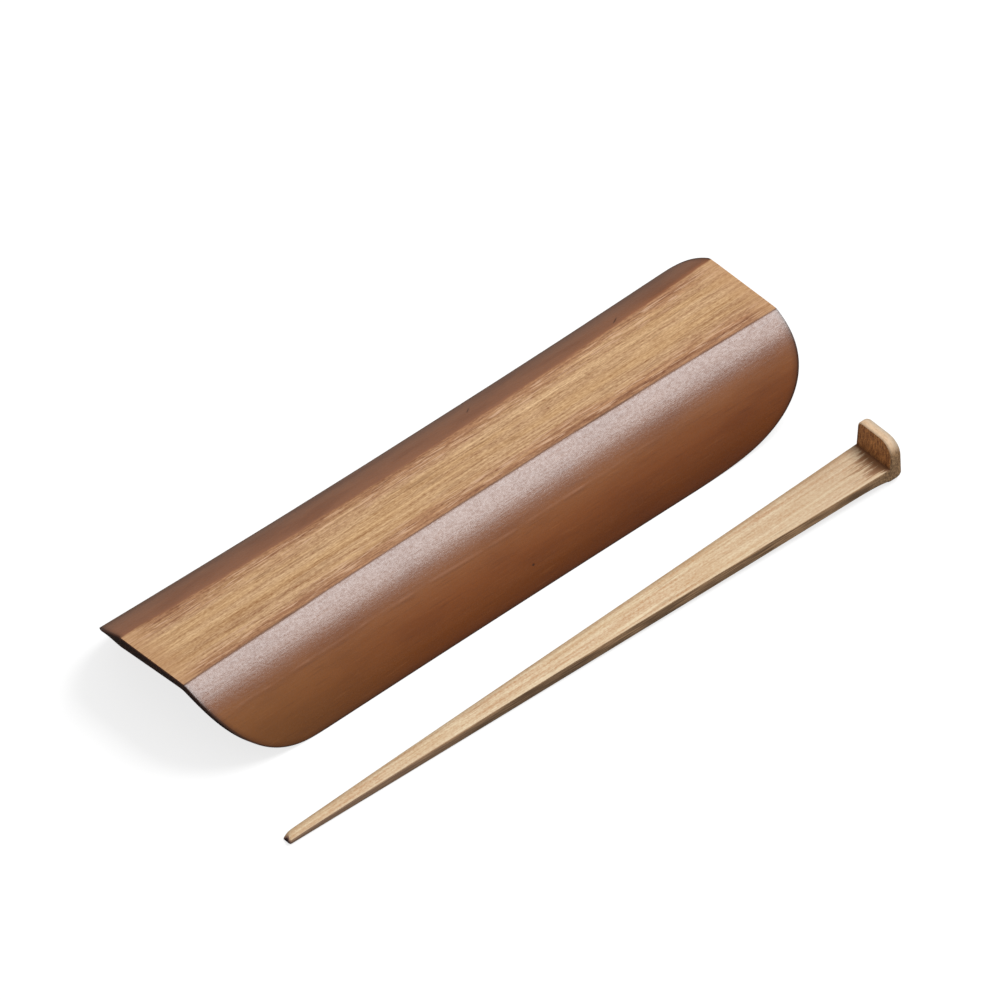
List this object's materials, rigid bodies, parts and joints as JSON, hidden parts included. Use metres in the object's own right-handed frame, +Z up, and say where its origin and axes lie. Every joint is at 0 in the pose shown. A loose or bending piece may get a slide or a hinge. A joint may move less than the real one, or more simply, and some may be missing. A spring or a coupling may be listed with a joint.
{
  "type": "bamboo tea scoop",
  "caption": "Split length of bamboo culm, planed flat along its crown, that holds and pours tea leaves, with a tapered bamboo pick that has an upright end tab for moving them.",
  "frame": {"origin": "middle of the footprint of scoop and pick together, on the table they lie on", "axes": "+X along the scoop from its tail to its head, +Y away from the pick, +Z up"},
  "size_m": [0.1834, 0.0834, 0.0196],
  "materials": {
    "lacquered_bamboo": "stained brown, satin lacquer, planed crown lighter",
    "pale_bamboo": "plain sanded, thin oil"
  },
  "bodies": {
    "scoop": {"scoop_body": "lacquered_bamboo"},
    "pick": {"tea_pick": "pale_bamboo"}
  },
  "joints": [
    {"name": "pick_lift", "type": "slide", "parent": "scoop", "child": "pick", "axis": [0, 0, 1], "range_m": [0, 0.08]}
  ]
}
